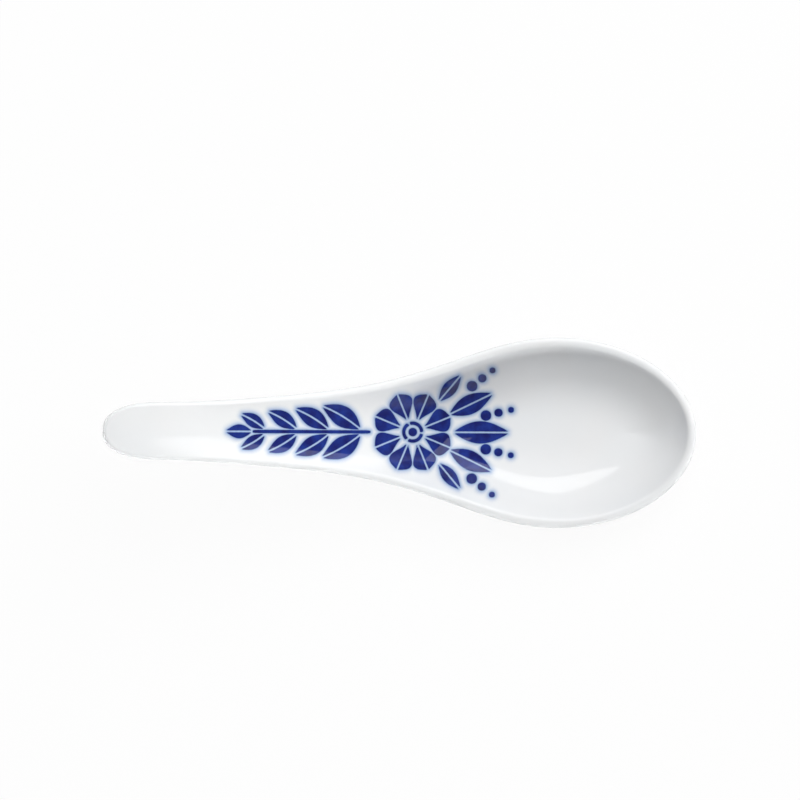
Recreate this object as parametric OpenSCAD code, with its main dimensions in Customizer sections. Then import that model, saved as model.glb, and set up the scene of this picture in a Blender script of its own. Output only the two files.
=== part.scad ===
// Chinese soup spoon: a pressed porcelain body with a bare foot, the clear glaze that coats it, and
// the cobalt films of the flower spray on its handle. X runs from the handle to the nose of the
// bowl, Z points up, and the origin is the middle of the foot, on the surface the spoon stands on.

/* [Overall] */
// Length from the end of the handle to the nose of the bowl
overall_l = 138; // [125:1:155]
// Height of the handle's end over the table
overall_h = 46.7; // [38:0.1:56]

/* [Bowl] */
// Width across the rim
bowl_w = 44.3; // [39:0.1:50]
// Length from the widest place of the rim to the nose
nose_l = 32.5; // [28:0.1:36]
// Height of the rim where the handle runs into the bowl
rim_h = 15.3; // [12:0.1:18]
// Height of the rim at the nose
nose_h = 13; // [11:0.1:16]
// Thickness of the floor over the foot
floor_t = 3; // [2:0.1:4.5]
// Radius of the rounded lip
lip_r = 1.2; // [0.9:0.05:1.6]
// Power of the curve from the floor up to the lip, where the bowl is widest
side_power = 2.9; // [2.3:0.05:3.1]
// Power of the same curve at the nose
nose_power = 1.8; // [1.3:0.05:2.1]

/* [Handle] */
// Width of the handle's end
end_w = 13.4; // [11:0.1:16]
// Length of the end's rounding
end_l = 13; // [10:0.1:15]
// Power of the end's outline, from 2 for an ellipse up to squarer ends
end_round = 2.3; // [2:0.05:3]
// Thickness of the handle's end at its lip
end_t = 4.1; // [3.8:0.1:5]
// Upright thickness of the handle along its middle, at its end
handle_t = 4.2; // [3.4:0.1:4.4]
// The same thickness at the heel
heel_t = 6.8; // [5.4:0.1:7.2]
// Power of the curve from the channel up to the lip, at the handle's end
handle_power = 2.1; // [1.9:0.05:2.6]

/* [Foot] */
// Length of the bare foot
foot_l = 18; // [12:0.5:20]
// Width of the bare foot
foot_w = 17; // [12:0.5:19]
// Distance from the middle of the foot to the nose
nose_reach = 46; // [43:0.5:49]
// Distance from the middle of the foot to the heel, where the handle's keel comes down
heel_reach = 14.3; // [13:0.1:18]
// Distance from the middle of the foot to where the sole starts to lift
lift_reach = 11; // [10:0.5:14]
// Distance from the middle of the foot to the toe, where the nose's wall starts
toe_reach = 35.6; // [32:0.1:38]
// How far the sole has lifted at the toe
toe_lift = 1.6; // [0.4:0.1:2.4]
// How far the bare foot stands out under the glazed sole
foot_stand = 0.2; // [0.1:0.05:0.4]
// Size of the rounding between the keel and the sole
heel_round = 2.4; // [1:0.1:3]
// Size of the rounding between the sole and the walls
sole_round = 3.4; // [1.5:0.1:4]
// Size of the rounding between the handle's channel and the bowl's floor
floor_round = 8; // [5:0.5:12]

/* [Glaze] */
// Thickness of the clear glaze
glaze_t = 0.3; // [0.2:0.05:0.4]
// Gap between the bare foot and the edge of the glaze round it
foot_gap = 0.1; // [0.05:0.01:0.2]

/* [Flower spray] */
// Thickness of the cobalt films
film_t = 0.16; // [0.1:0.02:0.3]
// Height of the films over the glaze
film_lift = 0.11; // [0.1:0.01:0.14]
// Gap along the middle of leaves and petals
vein_gap = 0.4; // [0.3:0.05:0.6]
// Distance from the middle of the foot back to the middle of the flower
flower_reach = 20; // [18:0.5:22]
// Number of petals
petal_n = 8; // [6:1:10]
// Radius of the flower
flower_r = 9.4; // [7.5:0.1:9.8]
// Inner radius of the petals
petal_r = 3.2; // [2.8:0.1:4]
// Middle radius of the ring round the flower's eye
ring_r = 2.1; // [1.8:0.05:2.3]
// Width of that ring
ring_w = 0.8; // [0.5:0.05:1]
// Radius of the flower's eye
eye_r = 1; // [0.6:0.05:1.2]
// Number of pairs of leaves on the handle
pair_n = 4; // [3:1:5]
// Distance between pairs of leaves
pair_gap = 7.4; // [7.2:0.1:7.8]
// Length of the leaves next to the flower
leaf_l = 9.8; // [8:0.1:10.2]
// Width of the leaves next to the flower
leaf_w = 4.6; // [3.4:0.1:4.8]
// Width of the stem
stem_w = 0.8; // [0.5:0.05:1]
// Length of the bud at the end of the stem
bud_l = 5.6; // [4:0.1:6]
// Width of the bud
bud_w = 3; // [2:0.1:3.2]
// Length of the middle leaf of the fan in the bowl
fan_l = 12.4; // [10:0.1:12.6]
// Width of the leaves of the fan
fan_w = 5; // [3.8:0.1:5.2]
// Radius of the largest berry
berry_r = 1.25; // [0.9:0.05:1.3]

/* [Hidden] */

porcelain = "#ecebe6";
glaze = "#f4f6f7";
cobalt = "#22358c";

// Places along the spoon
nose_x = nose_reach;
end_x = nose_x - overall_l;
arc_x = end_x + end_l;
wide_x = nose_x - nose_l;
heel_x = -heel_reach;
back_x = (heel_x + wide_x) / 2;
flower_x = -flower_reach;

// How much the ribs turn towards the two ends, as shares of the distance from the end's middle
nose_turn_share = pow(bowl_w / 2 / nose_l, 2);
end_turn_share = 0.58;

// Where the walls come down to the sole on the handle, on the widest rib and at the nose, as shares of
// a rib's length
handle_sole_share = 0.5;
bowl_sole_share = 0.63;
nose_sole_share = 0.37;

// Half width of the rim between the handle's end and the widest place: share of that run, share of
// the gain in width
plan_shares = [[0, 0], [0.235, 0.07], [0.41, 0.17], [0.58, 0.35], [0.73, 0.625], [0.86, 0.88], [1, 1]];
// Height of the rim from the handle's end to the back of the bowl: share of the run, share of the drop
rim_shares = [[0, 1], [0.14, 0.905], [0.37, 0.645], [0.6, 0.318], [0.77, 0.117], [0.89, 0.028], [1, 0]];
// Height of the keel from the handle's end to the heel: share of the run, share of the height
keel_shares = [[0, 1], [0.206, 0.889], [0.386, 0.727], [0.67, 0.412], [1, 0]];
// Slopes that the rim and the keel have at their ends
rim_slopes = [-0.22, -0.05];
keel_slopes = [-0.25, -0.72];

// Counts of the ribs on the handle's end, between the end and the widest place, and on the nose
end_ribs = 6;
mid_ribs = 38;
nose_ribs = 12;
// Counts of the steps along each rib: inside, round the lip, down the wall and along the sole
in_steps = 12;
lip_steps = 5;
wall_steps = 4;
sole_steps = 3;
rib_steps = in_steps + lip_steps + wall_steps + sole_steps;
// Turns that the solvers of the curves, the walls and the films take
curve_turns = 40;
wall_turns = 8;
place_turns = 8;
// Angle that the solver of the walls starts at, and the share of the way it goes each turn
wall_start = 30;
wall_pace_share = 0.5;

function mix(a, b, share) = a + (b - a) * share;

// A share of the way that starts and stops gently, kept between none and all of it
function ease(share) = let (s = max(0, min(1, share))) pow(s, 2) * (3 - 2 * s);

// The larger of two heights, rounded over where they are less than k apart
function soft_max(a, b, k) = max(a, b) + pow(max(0, k - abs(a - b)), 2) / (4 * k);

// A curve of even bend through stations [place, value]: its slopes settle turn by turn
function run(st, i) = st[i + 1][0] - st[i][0];
function pull(st, i) = 3 * (st[i + 1][1] - st[i][1]) / pow(run(st, i), 2);
function settle(st, m, turns) = turns == 0 ? m : settle(st, [
    for (i = [0:len(st) - 1])
        i == 0 || i == len(st) - 1 ? m[i] :
            (pull(st, i - 1) + pull(st, i) - m[i - 1] / run(st, i - 1) - m[i + 1] / run(st, i))
            / (2 / run(st, i - 1) + 2 / run(st, i))
], turns - 1);
function curve(st, ends) = [
    st,
    settle(st, [for (i = [0:len(st) - 1]) i == 0 ? ends[0] : i == len(st) - 1 ? ends[1] : 0], curve_turns)
];
function seat(st, x, i = 0) = i == len(st) - 2 || x < st[i + 1][0] ? i : seat(st, x, i + 1);
function on_curve(c, x) = let (
    st = c[0],
    m = c[1],
    i = seat(st, x),
    h = run(st, i),
    t = (x - st[i][0]) / h
) t < 0 ? st[i][1] + m[i] * h * t :
    t > 1 ? st[i + 1][1] + m[i + 1] * h * (t - 1) :
    (st[i][1] * (1 + 2 * t) + m[i] * h * t) * pow(1 - t, 2)
    + (st[i + 1][1] * (3 - 2 * t) + m[i + 1] * h * (t - 1)) * pow(t, 2);
function slope_on_curve(c, x) = let (
    st = c[0],
    m = c[1],
    i = seat(st, x),
    h = run(st, i),
    t = (x - st[i][0]) / h
) 6 * (st[i + 1][1] - st[i][1]) / h * t * (1 - t)
    + m[i] * (1 - t) * (1 - 3 * t)
    + m[i + 1] * t * (3 * t - 2);

plan_curve = curve(
    [for (p = plan_shares) [mix(arc_x, wide_x, p[0]), mix(end_w, bowl_w, p[1]) / 2]],
    [0, 0]
);
rim_curve = curve(concat(
    [for (p = rim_shares) [mix(end_x, back_x, p[0]), mix(rim_h, overall_h, p[1])]],
    [[nose_x, nose_h]]
), rim_slopes);
keel_curve = curve(
    [for (p = keel_shares) [mix(end_x, heel_x, p[0]), mix(foot_stand, overall_h - end_t, p[1])]],
    keel_slopes
);

// Plan: half width of the rim, and how far along the axis a rib meets it from its own rim point
function half_w(x) =
    x < arc_x ? end_w / 2 * pow(max(0, 1 - pow((arc_x - x) / end_l, end_round)), 1 / end_round) :
    x > wide_x ? bowl_w / 2 * sqrt(max(0, 1 - pow((x - wide_x) / nose_l, 2))) :
    on_curve(plan_curve, x);
function turn(x) =
    x < arc_x ? end_turn_share * (arc_x - x) :
    x > wide_x ? nose_turn_share * (wide_x - x) :
    half_w(x) * slope_on_curve(plan_curve, x);

// Side view: sole and keel, floor and channel, and the radius of the lip
function lift(x) = toe_lift * pow(max(0, (x - lift_reach) / (toe_reach - lift_reach)), 2);
function sole_z(x) = soft_max(on_curve(keel_curve, x), foot_stand + lift(x), heel_round);
function channel_t(x) = mix(handle_t, heel_t, ease((x - end_x) / (heel_x - end_x)));
function floor_z(x) =
    soft_max(on_curve(keel_curve, x) + channel_t(x), foot_stand + floor_t + lift(x), floor_round);
function lip(x) = lip_r + (end_t / 2 - lip_r) * pow(max(0, (wide_x - x) / (wide_x - end_x)), 2);

// A value that goes from the handle's to that of the widest rib and on to that of the nose
function along(x, handle, wide, nose) =
    x > wide_x ? mix(wide, nose, pow((x - wide_x) / nose_l, 2)) :
    mix(handle, wide, ease((x - arc_x) / (wide_x - arc_x)));

// The angle of the wall inside, under the lip, which follows from the depth and the width of the channel
function wall(xs, nx, l, r, z, p, a, turns) = turns == 0 ? a : let (
    d = l - r * (1 + sin(a)),
    fall = floor_z(xs + d * nx),
    depth = z - r * (1 - cos(a)) - fall,
    next = atan((fall - floor_z(xs) + p * depth) / d)
) wall(xs, nx, l, r, z, p, mix(a, next, wall_pace_share), turns - 1);

// The angle of the wall outside, which goes straight from the sole at distance c to touch the lip
function outer_wall(l, r, z, sole, c) = let (
    across = l - r - c,
    up = z - r - sole
) atan2(up, across) - asin(r / norm([across, up]));

// A rib of the spoon at rim place x: foot on the axis, direction, length, lip radius, rim height,
// power and wall angle inside, place where the wall comes down to the sole and wall angle outside
function rib(x) = let (
    w = half_w(x),
    xs = x + turn(x),
    l = norm([x - xs, w]),
    nx = (x - xs) / l,
    r = lip(x),
    z = on_curve(rim_curve, x - r * nx),
    p = along(x, handle_power, side_power, nose_power),
    c = l * along(x, handle_sole_share, bowl_sole_share, nose_sole_share)
) [
    xs, [nx, w / l], l, r, z,
    p, wall(xs, nx, l, r, z, p, wall_start, wall_turns),
    c, outer_wall(l, r, z, sole_z(xs), c)
];

function on_rib(b, d, z) = [b[0] + d * b[1][0], d * b[1][1], z];
function inner_edge(b) = b[2] - b[3] * (1 + sin(b[6]));
function outer_edge(b) = b[2] - b[3] * (1 - sin(b[8]));

// Height of the inside at distance d along a rib: the floor's own line plus a power of the share of
// the way to the lip
function inside_z(b, d) = let (
    e = inner_edge(b),
    depth = b[4] - b[3] * (1 - cos(b[6])) - floor_z(b[0] + e * b[1][0])
) floor_z(b[0] + d * b[1][0]) + depth * pow(d / e, b[5]);

// Height of the outside: a straight wall at the wall's angle, rounded into the sole or the keel
function outside_z(b, d) = let (wall_z = sole_z(b[0]) + tan(b[8]) * (d - b[7]))
    soft_max(sole_z(b[0] + d * b[1][0]), wall_z, min(sole_round, tan(b[8]) * b[7]));

// Half width of the bare foot along a rib
function foot_d(b) = abs(b[0]) < foot_l / 2 ? foot_w / 2 * sqrt(1 - pow(2 * b[0] / foot_l, 2)) : 0;

// Points of one rib from the axis inside, over the lip and back under to the foot or the keel
function rib_points(b) = concat(
    [for (j = [0:in_steps]) let (d = inner_edge(b) * j / in_steps) on_rib(b, d, inside_z(b, d))],
    [for (j = [1:lip_steps - 1]) let (a = mix(-b[6], 180 - b[8], j / lip_steps))
        on_rib(b, b[2] - b[3] * (1 - sin(a)), b[4] - b[3] * (1 - cos(a)))],
    [for (j = [0:wall_steps]) let (d = mix(outer_edge(b), b[7], j / wall_steps))
        on_rib(b, d, outside_z(b, d))],
    [for (j = [1:sole_steps]) let (d = mix(b[7], foot_d(b), j / sole_steps))
        on_rib(b, d, outside_z(b, d))]
);

rib_places = concat(
    [for (k = [0:end_ribs - 1]) arc_x - end_l * cos(90 * k / end_ribs)],
    [for (k = [0:mid_ribs]) mix(arc_x, wide_x, k / mid_ribs)],
    [for (k = [1:nose_ribs]) wide_x + nose_l * sin(90 * k / nose_ribs)]
);
ribs = [for (x = rib_places) rib(x)];
last_rib = len(ribs) - 1;
skin = [for (b = ribs) rib_points(b)];

// The same points set back by the thickness of the glaze, square to the skin
function across_axis(p) = [p[0], -p[1], p[2]];
function skin_at(i, j) =
    i < 0 || i > last_rib ? across_axis(skin[i < 0 ? 1 : last_rib - 1][j]) :
    j < 0 || j > rib_steps ? across_axis(skin[i][j < 0 ? 1 : rib_steps - 1]) :
    skin[i][j];
function square_to(i, j) =
    cross(skin_at(i + 1, j) - skin_at(i - 1, j), skin_at(i, j + 1) - skin_at(i, j - 1));
function set_back(i, j) = let (
    at_end = i == 0 || i == last_rib,
    square = square_to(i, at_end ? max(1, min(rib_steps - 1, j)) : j),
    foot_edge = j == rib_steps && beside_foot(i)
) skin[i][j] + glaze_t * (foot_edge ? [0, 0, 1] : -square / norm(square));
function in_foot(i) = foot_d(ribs[i]) > 0;
function beside_foot(i) = in_foot(i) || in_foot(max(0, i - 1)) || in_foot(min(last_rib, i + 1));
body_skin = [for (i = [0:last_rib]) [for (j = [0:rib_steps]) set_back(i, j)]];

// Points of both sides of a skin, and the number of the point at rib i, step j of a side
function both_sides(grid) = concat(
    [for (row = grid) each row],
    [for (row = grid) for (p = row) across_axis(p)]
);
side_points = (last_rib + 1) * (rib_steps + 1);
function on_axis(i, j) = i == 0 || i == last_rib || j == 0 || (j == rib_steps && !in_foot(i));
function number(side, i, j) = i * (rib_steps + 1) + j + (side == 0 || on_axis(i, j) ? 0 : side_points);

// Two triangles on four points, turned over where flip is true
function pair(a, b, c, d, flip) = flip ? [[a, b, c], [a, c, d]] : [[a, c, b], [a, d, c]];
// The diagonals change at half way both along and across, so that none of them lies in the axis
function skin_faces(flip, start) = [
    for (side = [0, 1], i = [0:last_rib - 1], j = [0:rib_steps - 1]) let (
        a = start + number(side, i, j),
        b = start + number(side, i + 1, j),
        c = start + number(side, i + 1, j + 1),
        d = start + number(side, i, j + 1),
        over = (side == 1) != flip
    ) each (i < last_rib / 2) == (j > rib_steps / 2) ? pair(b, c, d, a, over) : pair(a, b, c, d, over)
];

// The edge of the hole that the glaze leaves for the foot
hole_ribs = [for (i = [0:last_rib]) if (beside_foot(i)) i];
hole_loop = concat(
    [for (k = [len(hole_ribs) - 1:-1:0]) number(0, hole_ribs[k], rib_steps)],
    [for (k = [1:len(hole_ribs) - 2]) number(1, hole_ribs[k], rib_steps)]
);

module porcelain_body() {
    foot_ribs = [for (i = hole_ribs) if (in_foot(i)) ribs[i]];
    foot_edge = [for (b = foot_ribs) on_rib(b, foot_d(b) - foot_gap, 0)];
    foot_outline = concat(
        [for (p = foot_edge) [p[0], p[1]]],
        [for (k = [len(foot_edge) - 1:-1:0]) [foot_edge[k][0], -foot_edge[k][1]]]
    );
    color(porcelain) union() {
        polyhedron(both_sides(body_skin), concat(skin_faces(false, 0), [hole_loop]));
        linear_extrude(foot_stand + glaze_t + floor_t / 2)
            polygon(foot_outline);
    }
}

module glaze_coat() {
    inner_start = 2 * side_points;
    loop_n = len(hole_loop);
    color(glaze) polyhedron(
        concat(both_sides(skin), both_sides(body_skin)),
        concat(
            skin_faces(false, 0),
            skin_faces(true, inner_start),
            [for (k = [0:loop_n - 1]) let (a = hole_loop[k], b = hole_loop[(k + 1) % loop_n])
                each pair(a, inner_start + a, inner_start + b, b, false)]
        )
    );
}

// The rim place of the rib that passes over the plan point [x, y], found turn by turn
function rib_place(x, y, guess, turns) = turns == 0 ? guess :
    rib_place(x, y, x - turn(guess) * (1 - abs(y) / half_w(guess)), turns - 1);
function glaze_z(x, y) = let (b = rib(rib_place(x, y, x, place_turns)))
    inside_z(b, norm([x - b[0], y]));

// A film lies on the glaze between two edges, which run beside a path at the distances near and far
film_steps = 8;
film_rows = 2;
film_points_n = 2 * (film_steps + 1) * (film_rows + 1);
function heading(path, k) =
    let (v = path[min(film_steps, k + 1)] - path[max(0, k - 1)]) v / norm(v);
function film_points(film) = [
    for (level = [film_lift, film_lift + film_t], k = [0:film_steps], row = [0:film_rows]) let (
        v = heading(film[0], k),
        p = film[0][k] + [-v[1], v[0]] * mix(film[1][k], film[2][k], row / film_rows)
    ) [p[0], p[1], glaze_z(p[0], p[1]) + level]
];
function film_point(level, k, row) = (level * (film_steps + 1) + k) * (film_rows + 1) + row;
function film_faces(start) = [
    for (f = concat(
        [for (k = [0:film_steps - 1], row = [0:film_rows - 1], level = [0, 1]) each pair(
            film_point(level, k, row), film_point(level, k + 1, row),
            film_point(level, k + 1, row + 1), film_point(level, k, row + 1), level == 0)],
        [for (k = [0:film_steps - 1], row = [0, film_rows]) each pair(
            film_point(0, k, row), film_point(0, k + 1, row),
            film_point(1, k + 1, row), film_point(1, k, row), row > 0)],
        [for (row = [0:film_rows - 1], k = [0, film_steps]) each pair(
            film_point(0, k, row), film_point(0, k, row + 1),
            film_point(1, k, row + 1), film_point(1, k, row), k == 0)]
    )) [for (n = f) n + start]
];
module films(list) {
    color(cobalt) polyhedron(
        [for (film = list) each film_points(film)],
        [for (k = [0:len(list) - 1]) each film_faces(k * film_points_n)]
    );
}

// Shares of the way along a film
steps = [for (k = [0:film_steps]) k / film_steps];
// Blunt width that every film keeps at its tips
tip_w = 0.16;

// One half of a leaf, on the side that the sign of side says: its path bends steadily, and its
// edge swells as a sine that leans towards the base
leaf_lean_share = 0.95;
function half_leaf(base, angle, bend, length, width, side) = let (
    path = [for (t = steps) base + length * t * [cos(angle + bend * t / 2), sin(angle + bend * t / 2)]],
    swell = [for (t = steps) (width - vein_gap) / 2 * sin(180 * pow(t, leaf_lean_share))],
    near = [for (t = steps) vein_gap / 2],
    far = [for (s = swell) vein_gap / 2 + tip_w + s]
) side > 0 ? [path, near, far] : [path, -far, -near];

// One half of a petal: a wedge that swells to a round tip, and is widest where its sine is 1, so
// that a vein's gap stays between it and its neighbour
petal_lean = 1.7;
petal_round_share = 0.75;
function half_petal(k, side) = let (
    a = 180 * (2 * k + 1) / petal_n,
    widest_r = mix(petal_r, flower_r, pow(1 / 2, 1 / petal_lean)),
    widest = widest_r * tan(180 / petal_n) - vein_gap - tip_w,
    path = [for (t = steps) [flower_x, 0] + mix(petal_r, flower_r, t) * [cos(a), sin(a)]],
    wave = [for (t = steps) max(0, sin(180 * pow(t, petal_lean)))],
    near = [for (t = steps) vein_gap / 2],
    far = [for (w = wave) vein_gap / 2 + tip_w + widest * pow(w, petal_round_share)]
) side > 0 ? [path, near, far] : [path, -far, -near];

// A round spot
function spot(centre, r) = let (
    path = [for (t = steps) centre + [-r * cos(180 * t), 0]],
    edge = [for (t = steps) tip_w + (r - tip_w) * sin(180 * t)]
) [path, -edge, edge];

module petals_left() films([for (k = [0:petal_n - 1]) half_petal(k, 1)]);

module petals_right() films([for (k = [0:petal_n - 1]) half_petal(k, -1)]);

// The ring is drawn as arcs that leave a vein's gap between them
ring_arcs = 3;
module flower_ring() {
    gap_angle = 360 * vein_gap / (2 * PI * ring_r);
    films([for (k = [0:ring_arcs - 1]) [
        [for (t = steps) let (a = 360 * k / ring_arcs + (360 / ring_arcs - gap_angle) * t)
            [flower_x, 0] + ring_r * [cos(a), sin(a)]],
        [for (t = steps) -ring_w / 2],
        [for (t = steps) ring_w / 2]
    ]]);
}

module flower_eye() films([spot([flower_x, 0], eye_r)]);

// The spray on the handle: pairs of leaves that get shorter away from the flower
pair_start_share = 0.35;
pair_loss_share = 0.13;
stem_x = flower_x - flower_r - vein_gap;
pair_x = [for (k = [0:pair_n - 1]) stem_x - pair_gap * (k + pair_start_share)];
pair_shares = [for (k = [0:pair_n - 1]) 1 - pair_loss_share * k];
pair_angle = 140;
pair_bend = 18;
spray_end_x = pair_x[pair_n - 1] - pair_gap * pair_start_share;
function spray(side) = [
    for (k = [0:pair_n - 1], up = [-1, 1]) half_leaf(
        [pair_x[k], up * (stem_w / 2 + vein_gap)], up * pair_angle, up * pair_bend,
        leaf_l * pair_shares[k], leaf_w * pair_shares[k], side * up
    )
];
module leaves_outer() films(spray(-1));

module leaves_inner() films(spray(1));

module stem() films([[
    [for (t = steps) [mix(stem_x, spray_end_x, t), 0]],
    [for (t = steps) -stem_w / 2],
    [for (t = steps) stem_w / 2]
]]);

module bud() films([
    for (side = [-1, 1]) half_leaf([spray_end_x - vein_gap, 0], 180, 0, bud_l, bud_w, side)
]);

// The fan in the bowl: leaves that spread from the flower, with berries between them
fan_angles = [-50, -26, 0, 26, 50];
fan_shares = [0.58, 0.85, 1, 0.85, 0.58];
fan_start = flower_r + vein_gap;
function fan(side) = [
    for (k = [0:len(fan_angles) - 1]) let (a = fan_angles[k]) half_leaf(
        [flower_x, 0] + fan_start * [cos(a), sin(a)], a, 0,
        fan_l * fan_shares[k], fan_w * fan_shares[k], side
    )
];
module fan_outer() films(fan(1));

module fan_inner() films(fan(-1));

berry_angles = [-38, -13, 13, 38];
berry_shares = [1, 0.78, 0.56];
berry_start_share = 0.62;
berry_step_share = 2.4;
module berries() films([
    for (a = berry_angles, k = [0:len(berry_shares) - 1]) let (
        reach = fan_start + fan_l * berry_start_share + berry_r * berry_step_share * k
    ) spot([flower_x, 0] + reach * [cos(a), sin(a)], berry_r * berry_shares[k])
]);

porcelain_body();
glaze_coat();
petals_left();
petals_right();
flower_ring();
flower_eye();
stem();
leaves_outer();
leaves_inner();
bud();
fan_outer();
fan_inner();
berries();
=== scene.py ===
"""The looks of a porcelain soup spoon: its smooth glazed skin with the cobalt spray under the gloss,
and the bare foot it stands on. Lengths are in millimetres until a mesh, a lamp or a camera is made."""
from types import SimpleNamespace

import bpy
import numpy as np
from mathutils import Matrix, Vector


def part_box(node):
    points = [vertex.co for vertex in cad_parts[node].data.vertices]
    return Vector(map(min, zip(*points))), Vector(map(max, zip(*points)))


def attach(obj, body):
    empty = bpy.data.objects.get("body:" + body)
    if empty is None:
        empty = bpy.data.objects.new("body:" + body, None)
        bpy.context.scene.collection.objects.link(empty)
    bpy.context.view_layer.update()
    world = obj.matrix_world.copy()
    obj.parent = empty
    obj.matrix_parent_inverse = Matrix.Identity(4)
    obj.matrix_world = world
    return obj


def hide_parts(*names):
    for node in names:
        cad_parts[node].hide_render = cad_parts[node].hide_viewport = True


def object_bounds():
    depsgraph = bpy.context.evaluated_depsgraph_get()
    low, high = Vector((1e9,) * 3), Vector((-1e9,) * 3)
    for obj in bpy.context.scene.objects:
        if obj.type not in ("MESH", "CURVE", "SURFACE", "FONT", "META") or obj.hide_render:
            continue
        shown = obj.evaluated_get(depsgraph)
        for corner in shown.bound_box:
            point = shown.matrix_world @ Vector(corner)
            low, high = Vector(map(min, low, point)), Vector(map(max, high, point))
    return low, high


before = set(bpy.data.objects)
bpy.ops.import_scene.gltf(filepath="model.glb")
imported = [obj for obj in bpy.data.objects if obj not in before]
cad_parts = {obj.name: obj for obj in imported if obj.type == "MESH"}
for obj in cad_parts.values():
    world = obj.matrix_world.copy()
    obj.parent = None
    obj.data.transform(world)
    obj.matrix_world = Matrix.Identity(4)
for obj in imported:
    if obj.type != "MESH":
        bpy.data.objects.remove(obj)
CAD_BOX = [list(corner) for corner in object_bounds()]
MM = 0.001

# Driving sizes of the spoon, as the solids have them
OVERALL_L = 138.0
OVERALL_H = 46.7
NOSE_X = 46.0  # from the middle of the foot
# The bowl
BOWL_W = 44.3
NOSE_L = 32.5  # from the widest rib to the nose
RIM_H = 15.3  # at the back of the bowl
NOSE_H = 13.0
LIP_R = 1.2
FLOOR_T = 3.0
FLOOR_ROUND = 8.0  # softens the way from the handle's channel to the floor
# The handle
END_W = 13.4
END_L = 13.0  # length of its rounded end
END_ROUND = 2.3  # power of the oval that rounds it
END_T = 4.1
HANDLE_T = 4.2  # under the channel, at the end
HEEL_T = 6.8  # under the channel, at the heel
# The sole and the foot
HEEL_X = -14.3
HEEL_ROUND = 2.4
SOLE_ROUND = 3.4
LIFT_X = 11.0  # where the sole starts to lift
TOE_X = 35.6
TOE_LIFT = 1.6
FOOT_L = 18.0
FOOT_W = 17.0
FOOT_STAND = 0.2
FOOT_EDGE_R = 0.15
GLAZE_T = 0.3

# Half width of the lip on the handle, seen from above. In the solids it is round, and so as wide as it is
# high; the real one stands narrower
HANDLE_LIP_W = 0.95

# Places that follow from them
END_X = NOSE_X - OVERALL_L
ARC_X = END_X + END_L
WIDE_X = NOSE_X - NOSE_L
BACK_X = (HEEL_X + WIDE_X) / 2

# How fast the ribs fan out round the handle's end and round the nose
END_TURN_SHARE = 0.58
NOSE_TURN_SHARE = (BOWL_W / 2 / NOSE_L) ** 2

# On the handle, on the widest rib and at the nose: the power by which the inside rises to the lip, and the
# share of a rib's length at which the wall comes down to the sole
RISE_POWERS = (2.1, 2.9, 1.8)
SOLE_SHARES = (0.5, 0.63, 0.37)

# Stations of the three lines that shape the spoon: share of the run, share of the gain
PLAN_SHARES = [(0, 0), (0.235, 0.07), (0.41, 0.17), (0.58, 0.35), (0.73, 0.625), (0.86, 0.88), (1, 1)]
RIM_SHARES = [(0, 1), (0.14, 0.905), (0.37, 0.645), (0.6, 0.318), (0.77, 0.117), (0.89, 0.028), (1, 0)]
KEEL_SHARES = [(0, 1), (0.206, 0.889), (0.386, 0.727), (0.67, 0.412), (1, 0)]
# Their slopes at both ends
PLAN_SLOPES = (0, 0)
RIM_SLOPES = (-0.22, -0.05)
KEEL_SLOPES = (-0.25, -0.72)

# The search for the wall's angle inside: first guess, rounds, and the share of each step that is taken
WALL_GUESS = np.radians(30)
WALL_ROUNDS = 24
WALL_STEP_SHARE = 0.5

# Ribs of the skin: round the handle's end, along the handle, through the spray, on to the widest rib and
# round the nose
END_RIBS = 40
HANDLE_RIBS = 24
SPRAY_RIBS = 240
BOWL_RIBS = 14
NOSE_RIBS = 70
# Points of a rib: inside, round the lip, and down the wall as well as along the sole
INSIDE_POINTS = 62
LIP_POINTS = 22
WALL_POINTS = 23
# Points of the foot: along its oval, from the middle out, and round its edge
FOOT_TURN_POINTS = 96
FOOT_OUT_POINTS = 14
FOOT_EDGE_POINTS = 8

# Nodes of the cobalt spray
SPRAY = [
    "petals_left", "petals_right", "flower_ring", "flower_eye", "stem", "leaves_outer",
    "leaves_inner", "bud", "fan_outer", "fan_inner", "berries",
]
SPRAY_MARGIN = 2.1  # how far from the spray the skin is drawn finely and distances are told
SAME_POINT_DIGITS = 4  # points of a film are one where they agree to this digit
UPWARD_SHARE = 0.1  # a film's face looks up where its normal rises by at least this
CORNER_CUTS = 2  # how often an outline's corners are cut
CORNER_SHARE = 0.25  # share of an edge that a cut takes at each end
PAIRS_AT_ONCE = 4_000_000  # points times edges that are measured in one go

# Colours, as sRGB
GLAZE_COOL = "#eef1f3"
GLAZE_WARM = "#f2f2f2"
COBALT_THICK = "#161b63"
COBALT_THIN = "#1e348a"
COBALT_BLEED = "#7fa2cf"
CLAY_LIGHT = "#e9e3d8"
CLAY_DARK = "#d9d1c4"
CLAY_RUBBED = "#b5afa6"
WHITE = "#ffffff"
PAPER = "#fafafa"
PAPER_BOUNCE = "#cfcfcf"

# Finish of the glaze and of the cobalt in it, sizes in millimetres
GLAZE_ROUGHNESS = 0.015
GLAZE_IOR = 1.42
GLAZE_CLOUD = 14.0  # patches of cooler and warmer white
GLAZE_WAVE = 9.0
GLAZE_WAVE_H = 0.01
INK_EDGE = 0.09  # half width of the cobalt's edge
EDGE_WANDER = 0.05  # how far that edge strays
EDGE_GRAIN = 0.8
BLEED_W = 1.9
BLEED_SHARE = 0.92  # of the bleed's blue, at the edge of the cobalt
BLEED_FALL = 3.0  # power by which it fades
COBALT_SWIM = 3.0  # patches of thicker and thinner cobalt
COBALT_SPAN = (0.35, 0.65)  # of the noise, from thin to thick
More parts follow.
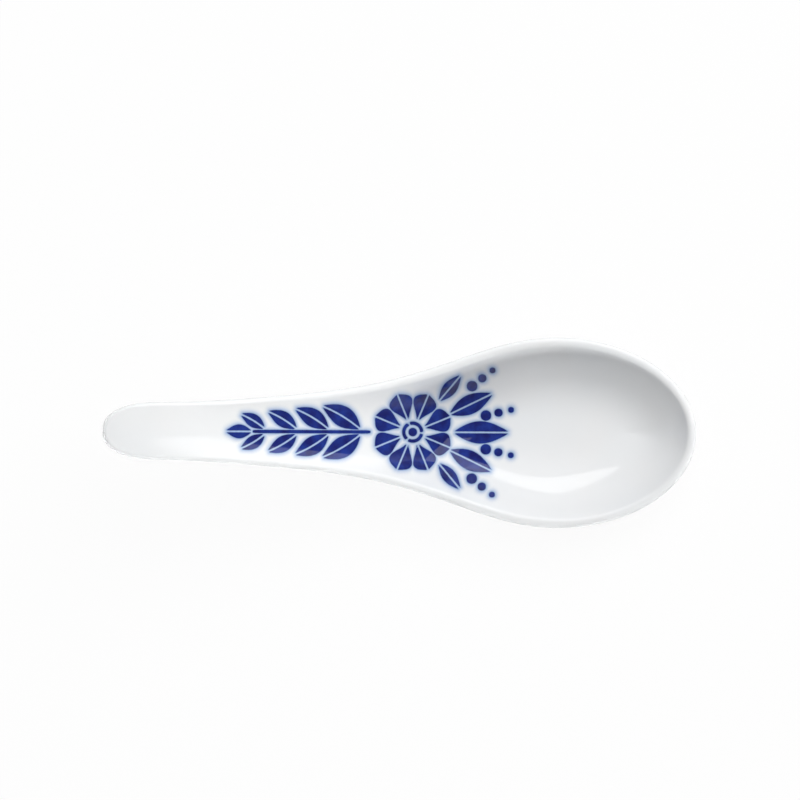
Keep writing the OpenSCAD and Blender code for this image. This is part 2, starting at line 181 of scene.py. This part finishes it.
# Finish of the bare clay, sizes in millimetres
CLAY_ROUGHNESS = 0.7
CLAY_IOR = 1.5
CLAY_GRAIN = 0.35
CLAY_GRAIN_H = 0.02
RUB_W = 0.9
RUB_STRETCH = (0.2, 1.0, 1.0)  # draws the rubbed streaks out along the spoon
RUB_SPAN = (0.5, 0.75)  # of the noise, from clean to rubbed
RUB_SHARE = 0.5  # of the rubbed grey, where it is strongest

# The camera: the middle of its view, the width that it shows, its turn, sensor and lens
VIEW_X = -23.0
VIEW_Y = 7.46
VIEW_W = 186.5
VIEW_ROLL = np.radians(0.28)
SENSOR = 36.0
LENS = 1500.0
CAMERA_REACH = VIEW_W * LENS / SENSOR
# The paper: how far it lies under the foot, and how much of what shows is plain white
FLOOR_SIZE = 6000.0
FLOOR_DROP = 0.02
PAPER_WHITE_SHARE = 0.94
# Walls of the studio: how bright they are, the sine of the height where they start to fade and where the
# ceiling starts, as reflections show them and as they light the spoon; the side where that light is
# strongest, and by what share it swings round the room
WALL_SEEN = (1.0, 0.05, 0.3)
WALL_LIGHT = (12.0, 0.03, 0.05)
FILL_SIDE = (-0.1, -0.995, 0.0)
FILL_SWING_SHARE = 0.8
CEILING_GLOW = 0.225
# The key light: its place, its side, and how bright it is against white
KEY_PLACE = (400.0, 720.0, 1300.0)
KEY_SIZE = 1200.0
KEY_GLOW = 4.7
# Corners of the bright cards that the glaze mirrors, as degrees round from the spoon's nose and up, and how
# bright they are against white. They stand so far off that all of the spoon has them in the same direction
HANDLE_CARD = [
    (5, 60), (5, 41), (23, 29), (38, 14), (50, -2), (58, -2), (58, 36), (37, 37), (27, 45), (16, 52),
    (9, 57.5),
]
HANDLE_CARD_GLOW = 2.5
BOWL_CARD = [(58, -2), (78, -2), (122, 38), (113, 47), (102, 47), (80, 36), (58, 36)]
BOWL_CARD_GLOW = 3.4
CARD_REACH = 20_000.0


def mix(a, b, share):
    """The value at a share of the way from a to b."""
    return a + (b - a) * share


def ease(share):
    """A share of the way that starts and ends gently, kept between none and all of it."""
    share = np.clip(share, 0, 1)
    return share**2 * (3 - 2 * share)


def soft_max(a, b, k):
    """The larger of two heights, rounded over by a parabola where they are less than k apart."""
    return np.maximum(a, b) + np.maximum(0, k - np.abs(a - b)) ** 2 / (4 * k)


def curve(places, values, slopes):
    """A cubic of even bend through stations: its slopes solve the rows that keep the bend even."""
    h = np.diff(places)
    pull = 3 * np.diff(values) / h**2
    rows = np.diag(np.r_[1, 2 / h[:-1] + 2 / h[1:], 1])
    rows += np.diag(np.r_[1 / h[:-1], 0], -1) + np.diag(np.r_[0, 1 / h[1:]], 1)
    return places, values, np.linalg.solve(rows, np.r_[slopes[0], pull[:-1] + pull[1:], slopes[1]])


def on_curve(line, at):
    """Height and slope of a curve: Hermite cubics between stations, straight beyond its ends."""
    places, values, slopes = line
    i = np.clip(np.searchsorted(places, at, side="right") - 1, 0, len(places) - 2)
    h = places[i + 1] - places[i]
    t = (at - places[i]) / h
    s = np.clip(t, 0, 1)
    height = (values[i] * (1 + 2 * s) + slopes[i] * h * s) * (1 - s) ** 2
    height += (values[i + 1] * (3 - 2 * s) + slopes[i + 1] * h * (s - 1)) * s**2
    height += h * (slopes[i] * np.minimum(t, 0) + slopes[i + 1] * np.maximum(t - 1, 0))
    slope = 6 * (values[i + 1] - values[i]) / h * s * (1 - s)
    slope += slopes[i] * (1 - s) * (1 - 3 * s) + slopes[i + 1] * s * (3 * s - 2)
    return height, slope


# Half width of the handle and bowl, height of the rim and height of the keel, along the spoon
run, gain = np.array(PLAN_SHARES).T
PLAN = curve(mix(ARC_X, WIDE_X, run), mix(END_W, BOWL_W, gain) / 2, PLAN_SLOPES)
run, gain = np.array(RIM_SHARES).T
RIM = curve(np.r_[mix(END_X, BACK_X, run), NOSE_X], np.r_[mix(RIM_H, OVERALL_H, gain), NOSE_H], RIM_SLOPES)
run, gain = np.array(KEEL_SHARES).T
KEEL = curve(mix(END_X, HEEL_X, run), mix(FOOT_STAND, OVERALL_H - END_T, gain), KEEL_SLOPES)


def sole_lift(x):
    """How far the sole has lifted towards the toe: a parabola from where the lift starts."""
    return TOE_LIFT * np.maximum(0, (x - LIFT_X) / (TOE_X - LIFT_X)) ** 2


def sole_z(x):
    """Height of the underside along the axis: the keel, rounded into the sole."""
    return soft_max(on_curve(KEEL, x)[0], FOOT_STAND + sole_lift(x), HEEL_ROUND)


def floor_z(x):
    """Height of the inside along the axis: the channel over the keel, which gets thicker towards the
    heel, rounded into the bowl's floor."""
    channel = on_curve(KEEL, x)[0] + mix(HANDLE_T, HEEL_T, ease((x - END_X) / (HEEL_X - END_X)))
    return soft_max(channel, FOOT_STAND + FLOOR_T + sole_lift(x), FLOOR_ROUND)


def along(x, handle, wide, nose):
    """A value that goes from the handle's to that of the widest rib and on to that of the nose."""
    to_nose = np.maximum(0, (x - WIDE_X) / NOSE_L)
    return mix(mix(handle, wide, ease((x - ARC_X) / (WIDE_X - ARC_X))), nose, to_nose**2)


def touch_lip_inside(rib):
    """Where the inside of each rib touches the lip, for the turn that it has there: how far out along
    the rib, and how high over the floor below."""
    rib.inner = rib.length - rib.lip_w * (1 + np.sin(rib.turn_in))
    rib.depth = rib.top - rib.lip * (1 - np.cos(rib.turn_in)) - floor_z(rib.foot + rib.inner * rib.nx)


def rib_lines(x):
    """Ribs of the spoon at rim places x. Each runs square to the rim's outline from its foot on the
    axis, has a lip that is round at the bowl and a standing oval on the handle, and rises to it inside
    as a power of the way; the angle of the wall there is where that power meets the lip, found by taking
    a share of each step towards it. Outside, a straight wall goes from the sole to touch the same lip.
    The oval is a circle squeezed sideways, so turns on it are told as on that circle."""
    to_end = np.maximum(0, ARC_X - x)
    to_nose = np.maximum(0, x - WIDE_X)
    plan, plan_slope = on_curve(PLAN, x)
    round_end = END_W / 2 * np.maximum(0, 1 - (to_end / END_L) ** END_ROUND) ** (1 / END_ROUND)
    round_nose = BOWL_W / 2 * np.sqrt(np.maximum(0, 1 - (to_nose / NOSE_L) ** 2))
    half_w = np.where(to_end > 0, round_end, np.where(to_nose > 0, round_nose, plan))
    middle = (to_end == 0) & (to_nose == 0)
    turn = END_TURN_SHARE * to_end - NOSE_TURN_SHARE * to_nose + np.where(middle, plan * plan_slope, 0)
    rib = SimpleNamespace(foot=x + turn, length=np.hypot(turn, half_w))
    rib.nx = -turn / rib.length
    rib.ny = half_w / rib.length
    rib.lip = LIP_R + (END_T / 2 - LIP_R) * np.maximum(0, (WIDE_X - x) / (WIDE_X - END_X)) ** 2
    rib.lip_w = along(x, HANDLE_LIP_W, LIP_R, LIP_R)
    squeeze = rib.lip / rib.lip_w
    rib.top = on_curve(RIM, x - rib.lip * rib.nx)[0]
    rib.power = along(x, *RISE_POWERS)
    rib.turn_in = np.full_like(x, WALL_GUESS)
    for _ in range(WALL_ROUNDS):
        touch_lip_inside(rib)
        rise = floor_z(rib.foot + rib.inner * rib.nx) - floor_z(rib.foot) + rib.power * rib.depth
        rib.turn_in = mix(rib.turn_in, np.arctan(rise / rib.inner / squeeze), WALL_STEP_SHARE)
    touch_lip_inside(rib)
    rib.corner = rib.length * along(x, *SOLE_SHARES)
    across = (rib.length - rib.lip_w - rib.corner) * squeeze
    up = rib.top - rib.lip - sole_z(rib.foot)
    rib.turn_out = np.arctan2(up, across) - np.arcsin(rib.lip / np.hypot(across, up))
    rib.steep = np.tan(rib.turn_out) * squeeze
    rib.outer = rib.length - rib.lip_w * (1 - np.sin(rib.turn_out))
    return rib


def rib_profile(rib, inside, lip, wall, sole):
    """Distance along each rib and height: the inside rises as a power, the lip is an arc, the wall is
    straight and as steep as the rib says, and is rounded into the sole, which runs back to the axis."""
    d_in = rib.inner * inside
    z_in = floor_z(rib.foot + d_in * rib.nx) + rib.depth * inside**rib.power
    round_lip = mix(-rib.turn_in, np.pi - rib.turn_out, lip)
    d_lip = rib.length - rib.lip_w * (1 - np.sin(round_lip))
    z_lip = rib.top - rib.lip * (1 - np.cos(round_lip))
    d_out = np.concatenate([mix(rib.outer, rib.corner, wall), rib.corner * (1 - sole)], axis=1)
    straight = sole_z(rib.foot) + rib.steep * (d_out - rib.corner)
    room = np.minimum(SOLE_ROUND, rib.steep * rib.corner)
    z_out = soft_max(sole_z(rib.foot + d_out * rib.nx), straight, room)
    return np.concatenate([d_in, d_lip, d_out], axis=1), np.concatenate([z_in, z_lip, z_out], axis=1)


def sheet_mesh(name, points, faces):
    """A smooth mesh piece of points in millimetres and rows of corners."""
    mesh = bpy.data.meshes.new(name)
    mesh.from_pydata((points * MM).tolist(), [], faces)
    mesh.shade_smooth()
    mesh.update()
    piece = bpy.data.objects.new(name, mesh)
    bpy.context.scene.collection.objects.link(piece)
    return piece


def glazed_skin(fine_from, fine_to):
    """The whole skin as one closed sheet: ribs along the spoon by the rib profile across it, mirrored
    about the axis. The points on the axis and in the two end ribs serve both sides. Ribs are closest
    from fine_from to fine_to, where the spray lies. The solids' facets cut the crests of these curves,
    so the skin is drawn smaller by that hair to stay in their box."""
    x = np.concatenate([
        ARC_X - END_L * np.cos(np.linspace(0, np.pi / 2, END_RIBS, endpoint=False)),
        np.linspace(ARC_X, fine_from, HANDLE_RIBS, endpoint=False),
        np.linspace(fine_from, fine_to, SPRAY_RIBS, endpoint=False),
        np.linspace(fine_to, WIDE_X, BOWL_RIBS, endpoint=False),
        WIDE_X + NOSE_L * np.sin(np.linspace(0, np.pi / 2, NOSE_RIBS)),
    ])[:, None]
    rib = rib_lines(x)
    down = np.linspace(0, 1, WALL_POINTS)[1:] * np.pi / 2
    d, z = rib_profile(
        rib,
        inside=np.linspace(0, 1, INSIDE_POINTS),
        lip=np.linspace(0, 1, LIP_POINTS)[1:],
        wall=np.sin(down),
        sole=1 - np.cos(down),
    )
    half = np.stack([rib.foot + d * rib.nx, d * rib.ny, z], axis=-1)
    half[[0, -1], :, 1] = 0
    half[:, [0, -1], 1] = 0
    points = np.stack([half, half * (1, -1, 1)])
    number = np.arange(points.size // 3).reshape(2, *d.shape)
    number[1][[0, -1], :] = number[0][[0, -1], :]
    number[1][:, [0, -1]] = number[0][:, [0, -1]]
    back, front = number[:, :-1], number[:, 1:]
    corners = np.stack([back[..., :-1], front[..., :-1], front[..., 1:], back[..., 1:]], axis=-1)
    corners[1] = corners[1][..., ::-1]
    used, faces = np.unique(corners, return_inverse=True)
    points = points.reshape(-1, 3)[used]
    points *= np.array(CAD_BOX[1]) / MM / points.max(axis=0)
    return sheet_mesh("glazed_spoon", points, faces.reshape(-1, 4).tolist())


def bare_foot():
    """The foot as rings of an oval: out over its flat face, round its worn edge, up into the body and
    back to the middle inside it. Both middles are single points."""
    top = FOOT_STAND + GLAZE_T
    out = np.linspace(0, 1, FOOT_OUT_POINTS)[1:]
    level = np.zeros_like(out)
    edge = np.linspace(0, np.pi / 2, FOOT_EDGE_POINTS)
    share = np.r_[out, np.ones_like(edge), out[::-1]][:, None]
    inset = FOOT_EDGE_R * np.r_[level + 1, 1 - np.sin(edge), level][:, None]
    z = np.r_[level, FOOT_EDGE_R * (1 - np.cos(edge)), level + top][:, None]
    turn = np.linspace(0, 2 * np.pi, FOOT_TURN_POINTS, endpoint=False)
    x = (FOOT_L / 2 - inset) * share * np.cos(turn)
    y = (FOOT_W / 2 - inset) * share * np.sin(turn)
    rings = np.stack(np.broadcast_arrays(x, y, z), axis=-1)
    number = np.arange(x.size).reshape(x.shape)
    beside = np.roll(number, -1, axis=1)
    quads = np.stack([number[:-1], number[1:], beside[1:], beside[:-1]], axis=-1).reshape(-1, 4)
    middle = np.full(FOOT_TURN_POINTS, x.size)
    under = np.stack([beside[0], middle, number[0]], axis=-1)
    over = np.stack([number[-1], middle + 1, beside[-1]], axis=-1)
    points = np.r_[rings.reshape(-1, 3), [[0, 0, 0], [0, 0, top]]]
    return sheet_mesh("bare_foot", points, quads.tolist() + under.tolist() + over.tolist())


def plan_edges(node):
    """Outline of a film node seen from above, as edges in millimetres with the film on their left: the
    edges that only one of its upward faces has, with their corners cut to round them."""
    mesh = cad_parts[node].data
    mesh.calc_loop_triangles()
    place = np.empty(len(mesh.vertices) * 3)
    mesh.vertices.foreach_get("co", place)
    place = np.round(place.reshape(-1, 3) / MM, SAME_POINT_DIGITS)
    place, number = np.unique(place, axis=0, return_inverse=True)
    corner = np.empty(len(mesh.loop_triangles) * 3, dtype=int)
    mesh.loop_triangles.foreach_get("vertices", corner)
    corner = number.ravel()[corner].reshape(-1, 3)
    side = place[corner]
    normal = np.cross(side[:, 1] - side[:, 0], side[:, 2] - side[:, 0])
    upward = normal[:, 2] > UPWARD_SHARE * np.linalg.norm(normal, axis=1)
    start = corner[upward].ravel()
    end = np.roll(corner[upward], -1, axis=1).ravel()
    alone = ~np.isin(start * len(place) + end, end * len(place) + start)
    start, end = start[alone], end[alone]
    follow = np.empty(len(place), dtype=int)
    follow[start] = np.arange(len(start))
    after = follow[end]
    start, end = place[start, :2], place[end, :2]
    for _ in range(CORNER_CUTS):
        early, late = mix(start, end, CORNER_SHARE), mix(start, end, 1 - CORNER_SHARE)
        start, end = np.r_[early, late], np.r_[late, early[after]]
        after = np.r_[len(after) + np.arange(len(after)), after]
    return start, end


def spray_distance(points, node):
    """Distance of plan points from a film's outline, below zero inside it: the least distance to any
    edge, with its sign from how often the outline is crossed on the way out."""
    start, end = plan_edges(node)
    edge = end - start
    result = np.empty(len(points))
    blocks = max(1, len(points) * len(start) // PAIRS_AT_ONCE)
    for block in np.array_split(np.arange(len(points)), blocks):
        apart = points[block, None] - start
        share = np.clip((apart * edge).sum(-1) / (edge**2).sum(-1), 0, 1)
        least = np.linalg.norm(apart - share[..., None] * edge, axis=-1).min(1)
        spans = (start[:, 1] > points[block, None, 1]) != (end[:, 1] > points[block, None, 1])
        beside = apart[..., 0] * edge[:, 1] < apart[..., 1] * edge[:, 0]
        crossed = (spans & (beside == (edge[:, 1] > 0))).sum(1) % 2
        result[block] = np.where(crossed == 1, -least, least)
    return result


def mark_spray(skin, boxes):
    """Writes the distance from each film on the skin, as an attribute with the film's name. It is
    measured at points that face up in the film's box, and is the margin everywhere else."""
    places, normals = np.empty((2, len(skin.data.vertices) * 3))
    skin.data.vertices.foreach_get("co", places)
    skin.data.vertex_normals.foreach_get("vector", normals)
    places = places.reshape(-1, 3)[:, :2] / MM
    faces_up = normals[2::3] > 0
    for film, (low, high) in zip(SPRAY, boxes[:, :, :2]):
        near = np.flatnonzero(faces_up & ((places > low) & (places < high)).all(1))
        away = np.full(len(places), SPRAY_MARGIN)
        away[near] = np.minimum(spray_distance(places[near], film), SPRAY_MARGIN)
        skin.data.attributes.new(film, "FLOAT", "POINT").data.foreach_set("value", away)


def linear(code):
    """Linear red, green, blue and alpha of an sRGB hex colour."""
    part = np.array([int(code[i:i + 2], 16) for i in (1, 3, 5)]) / 255
    part = np.where(part <= 0.04045, part / 12.92, ((part + 0.055) / 1.055) ** 2.4)
    return (*part.tolist(), 1.0)


def per_mm(size):
    """Noise scale in metres that gives patches about as wide as size in millimetres."""
    return 1 / (size * MM)


def add(tree, kind, inputs=None, **settings):
    """Adds a node with its settings; each input is linked to a socket or set to a value."""
    made = tree.nodes.new(kind)
    for name, value in settings.items():
        setattr(made, name, value)
    for key, value in (inputs or {}).items():
        if isinstance(value, bpy.types.NodeSocket):
            tree.links.new(value, made.inputs[key])
        else:
            made.inputs[key].default_value = value
    return made


def empty_material(name):
    """A material with an empty node tree. Where it glows, only rays that hit it find it, which spares
    the lamps' light from grain."""
    material = bpy.data.materials.new(name)
    material.cycles.emission_sampling = "NONE"
    material.use_nodes = True
    material.node_tree.nodes.clear()
    return material, material.node_tree


def cobalt_and_bleed(tree, place):
    """Shares of the cobalt and of its pale bleed, from the distance to the nearest film: the cobalt ends
    in a soft step whose place wanders, and from there the bleed fades as a power of the way."""
    films = [add(tree, "ShaderNodeAttribute", attribute_name=name).outputs["Fac"] for name in SPRAY]
    distance = films[0]
    for film in films[1:]:
        distance = add(tree, "ShaderNodeMath", {0: distance, 1: film}, operation="MINIMUM").outputs[0]
    ragged = add(tree, "ShaderNodeTexNoise", {"Vector": place, "Scale": per_mm(EDGE_GRAIN), "Detail": 2.0})
    wander = add(
        tree, "ShaderNodeMapRange",
        {"Value": ragged.outputs["Fac"], "To Min": -EDGE_WANDER, "To Max": EDGE_WANDER},
    )
    distance = add(tree, "ShaderNodeMath", {0: distance, 1: wander.outputs[0]}, operation="ADD").outputs[0]
    ink = add(
        tree, "ShaderNodeMapRange",
        {"Value": distance, "From Min": -INK_EDGE, "From Max": INK_EDGE, "To Min": 1.0, "To Max": 0.0},
        interpolation_type="SMOOTHSTEP",
    )
    nearness = add(
        tree, "ShaderNodeMapRange",
        {"Value": distance, "From Min": 0.0, "From Max": BLEED_W, "To Min": 1.0, "To Max": 0.0},
    )
    fading = add(tree, "ShaderNodeMath", {0: nearness.outputs[0], 1: BLEED_FALL}, operation="POWER")
    bleed = add(tree, "ShaderNodeMath", {0: fading.outputs[0], 1: BLEED_SHARE}, operation="MULTIPLY")
    return ink.outputs[0], bleed.outputs[0]


def glazed_porcelain():
    """Glazed porcelain: a dense white body under a clear glaze fired glass-smooth, so that it is a soft
    white with sharp, small reflections. The cobalt is fired into the glaze: it shares the gloss, its
    shade swims a little, and its edges bleed a pale blue into the white."""
    material, tree = empty_material("glazed_porcelain")
    place = add(tree, "ShaderNodeTexCoord").outputs["Object"]
    ink, bleed = cobalt_and_bleed(tree, place)
    cloud = add(tree, "ShaderNodeTexNoise", {"Vector": place, "Scale": per_mm(GLAZE_CLOUD), "Detail": 1.0})
    white = add(
        tree, "ShaderNodeMixRGB",
        {"Fac": cloud.outputs["Fac"], "Color1": linear(GLAZE_COOL), "Color2": linear(GLAZE_WARM)},
    )
    haloed = add(
        tree, "ShaderNodeMixRGB",
        {"Fac": bleed, "Color1": white.outputs[0], "Color2": linear(COBALT_BLEED)},
    )
    swim = add(tree, "ShaderNodeTexNoise", {"Vector": place, "Scale": per_mm(COBALT_SWIM), "Detail": 3.0})
    thin, thick = COBALT_SPAN
    depth = add(
        tree, "ShaderNodeMapRange", {"Value": swim.outputs["Fac"], "From Min": thin, "From Max": thick},
    )
    cobalt = add(
        tree, "ShaderNodeMixRGB",
        {"Fac": depth.outputs[0], "Color1": linear(COBALT_THIN), "Color2": linear(COBALT_THICK)},
    )
    colour = add(
        tree, "ShaderNodeMixRGB",
        {"Fac": ink, "Color1": haloed.outputs[0], "Color2": cobalt.outputs[0]},
    )
    wave = add(tree, "ShaderNodeTexNoise", {"Vector": place, "Scale": per_mm(GLAZE_WAVE), "Detail": 1.0})
    bump = add(
        tree, "ShaderNodeBump",
        {"Height": wave.outputs["Fac"], "Strength": 1.0, "Distance": GLAZE_WAVE_H * MM},
    )
    shader = add(
        tree, "ShaderNodeBsdfPrincipled",
        {
            "Base Color": colour.outputs[0], "Roughness": GLAZE_ROUGHNESS, "IOR": GLAZE_IOR,
            "Normal": bump.outputs[0],
        },
    )
    add(tree, "ShaderNodeOutputMaterial", {"Surface": shader.outputs[0]})
    return material


def biscuit_porcelain():
    """Biscuit porcelain: fired clay with no glaze, ground flat, so it is chalky, a little warm, finely
    grained, and greyed in streaks where it rubs on tables."""
    material, tree = empty_material("biscuit_porcelain")
    place = add(tree, "ShaderNodeTexCoord").outputs["Object"]
    grain = add(tree, "ShaderNodeTexNoise", {"Vector": place, "Scale": per_mm(CLAY_GRAIN), "Detail": 4.0})
    streak = add(tree, "ShaderNodeMapping", {"Vector": place, "Scale": RUB_STRETCH}).outputs[0]
    rub = add(tree, "ShaderNodeTexNoise", {"Vector": streak, "Scale": per_mm(RUB_W), "Detail": 3.0})
    clean, rubbed = RUB_SPAN
    worn = add(
        tree, "ShaderNodeMapRange",
        {"Value": rub.outputs["Fac"], "From Min": clean, "From Max": rubbed, "To Max": RUB_SHARE},
    )
    clay = add(
        tree, "ShaderNodeMixRGB",
        {"Fac": grain.outputs["Fac"], "Color1": linear(CLAY_DARK), "Color2": linear(CLAY_LIGHT)},
    )
    colour = add(
        tree, "ShaderNodeMixRGB",
        {"Fac": worn.outputs[0], "Color1": clay.outputs[0], "Color2": linear(CLAY_RUBBED)},
    )
    bump = add(
        tree, "ShaderNodeBump",
        {"Height": grain.outputs["Fac"], "Strength": 1.0, "Distance": CLAY_GRAIN_H * MM},
    )
    shader = add(
        tree, "ShaderNodeBsdfPrincipled",
        {
            "Base Color": colour.outputs[0], "Roughness": CLAY_ROUGHNESS, "IOR": CLAY_IOR,
            "Normal": bump.outputs[0],
        },
    )
    add(tree, "ShaderNodeOutputMaterial", {"Surface": shader.outputs[0]})
    return material


def seen_white(tree):
    """One where a ray comes from the camera, a reflection or through something clear, else zero."""
    path = add(tree, "ShaderNodeLightPath")
    seen = path.outputs["Is Camera Ray"]
    for name in ("Is Glossy Ray", "Is Transmission Ray"):
        seen = add(tree, "ShaderNodeMath", {0: seen, 1: path.outputs[name]}, operation="MAXIMUM").outputs[0]
    return seen


def white_paper():
    """White paper that is shown overexposed but still takes a faint shadow, and that throws less light
    back at the spoon than it shows, so that the undersides stay grey."""
    material, tree = empty_material("white_paper")
    seen = seen_white(tree)
    tone = add(
        tree, "ShaderNodeMixRGB",
        {"Fac": seen, "Color1": linear(PAPER_BOUNCE), "Color2": linear(PAPER)},
    )
    sheet = add(tree, "ShaderNodeBsdfDiffuse", {"Color": tone.outputs[0]})
    white = add(tree, "ShaderNodeEmission", {"Strength": 1.0})
    share = add(tree, "ShaderNodeMath", {0: seen, 1: PAPER_WHITE_SHARE}, operation="MULTIPLY")
    shown = add(
        tree, "ShaderNodeMixShader",
        {0: share.outputs[0], 1: sheet.outputs[0], 2: white.outputs[0]},
    )
    add(tree, "ShaderNodeOutputMaterial", {"Surface": shown.outputs[0]})
    return material


def paper_floor():
    """The paper under the spoon, as one wide square a hair below the foot."""
    square = np.array([[-1, -1], [1, -1], [1, 1], [-1, 1]]) * FLOOR_SIZE / 2
    corners = np.c_[square, np.full(len(square), -FLOOR_DROP)]
    floor = sheet_mesh("floor", corners, [[0, 1, 2, 3]])
    floor.data.materials.append(white_paper())


def studio_walls():
    """White studio walls under a dim ceiling: the glow falls off with the sine of the height. A low,
    bright run of wall lights lips and sides from all round; reflections show the walls as plain white."""
    world = bpy.data.worlds.new("studio_walls")
    bpy.context.scene.world = world
    world.use_nodes = True
    tree = world.node_tree
    tree.nodes.clear()
    way = add(tree, "ShaderNodeTexCoord").outputs["Generated"]
    height = add(tree, "ShaderNodeSeparateXYZ", {0: way}).outputs["Z"]
    facing = add(tree, "ShaderNodeVectorMath", {0: way, 1: FILL_SIDE}, operation="DOT_PRODUCT")
    swing = add(
        tree, "ShaderNodeMath",
        {0: facing.outputs["Value"], 1: FILL_SWING_SHARE * WALL_LIGHT[0], 2: WALL_LIGHT[0]},
        operation="MULTIPLY_ADD",
    )
    glows = []
    for wall, (_, low, high) in ((swing.outputs[0], WALL_LIGHT), (WALL_SEEN[0], WALL_SEEN)):
        glow = add(
            tree, "ShaderNodeMapRange",
            {"Value": height, "From Min": low, "From Max": high, "To Min": wall, "To Max": CEILING_GLOW},
            interpolation_type="SMOOTHSTEP",
        )
        glows.append(glow.outputs[0])
    glow = add(tree, "ShaderNodeMix", {"Factor": seen_white(tree), "A": glows[0], "B": glows[1]})
    sky = add(tree, "ShaderNodeBackground", {"Color": linear(WHITE), "Strength": glow.outputs[0]})
    add(tree, "ShaderNodeOutputWorld", {"Surface": sky.outputs[0]})


def key_panel():
    """The key light: a square, soft panel that faces the spoon. Reflections show the cards instead."""
    lamp = bpy.data.lights.new("key_panel", "AREA")
    lamp.shape = "SQUARE"
    lamp.size = KEY_SIZE * MM
    lamp.energy = KEY_GLOW * np.pi * lamp.size**2
    panel = bpy.data.objects.new("key_panel", lamp)
    panel.location = np.array(KEY_PLACE) * MM
    panel.rotation_euler = panel.location.to_track_quat("Z", "Y").to_euler()
    panel.visible_camera = panel.visible_glossy = False
    bpy.context.scene.collection.objects.link(panel)


def glint_card(name, corners, radiance):
    """A bright card that only reflections show, with its corners in the directions given."""
    material, tree = empty_material(name)
    glow = add(tree, "ShaderNodeEmission", {"Strength": radiance})
    add(tree, "ShaderNodeOutputMaterial", {"Surface": glow.outputs[0]})
    round_by, up_by = np.radians(corners).T
    points = np.c_[np.cos(up_by) * np.cos(round_by), np.cos(up_by) * np.sin(round_by), np.sin(up_by)]
    card = sheet_mesh(name, CARD_REACH * points, [list(range(len(corners)))])
    card.data.materials.append(material)
    card.visible_camera = card.visible_diffuse = card.visible_shadow = False


def overhead_camera():
    """A long lens straight over the spoon, so far up that its view has next to no perspective."""
    lens = bpy.data.cameras.new("camera")
    lens.lens = LENS
    lens.sensor_width = SENSOR
    lens.clip_end = 2 * CAMERA_REACH * MM
    camera = bpy.data.objects.new("camera", lens)
    camera.location = (VIEW_X * MM, VIEW_Y * MM, CAMERA_REACH * MM)
    camera.rotation_euler = (0, 0, VIEW_ROLL)
    bpy.context.scene.collection.objects.link(camera)
    bpy.context.scene.camera = camera


overhead_camera()
studio_walls()
key_panel()
glint_card("handle_card", HANDLE_CARD, HANDLE_CARD_GLOW)
glint_card("bowl_card", BOWL_CARD, BOWL_CARD_GLOW)
paper_floor()

# Boxes of the films, wider by the margin all round
spray_boxes = np.array([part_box(name) for name in SPRAY]) / MM + [[-SPRAY_MARGIN], [SPRAY_MARGIN]]
skin =glazed_skin(spray_boxes[:, 0, 0].min(), spray_boxes[:, 1, 0].max())
mark_spray(skin, spray_boxes)
skin.data.materials.append(glazed_porcelain())
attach(skin, "root")
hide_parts("porcelain_body", "glaze_coat", *SPRAY)

foot = bare_foot()
foot.data.materials.append(biscuit_porcelain())
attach(foot, "root")
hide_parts("porcelain_body")

bpy.context.scene.view_settings.view_transform = "Standard"
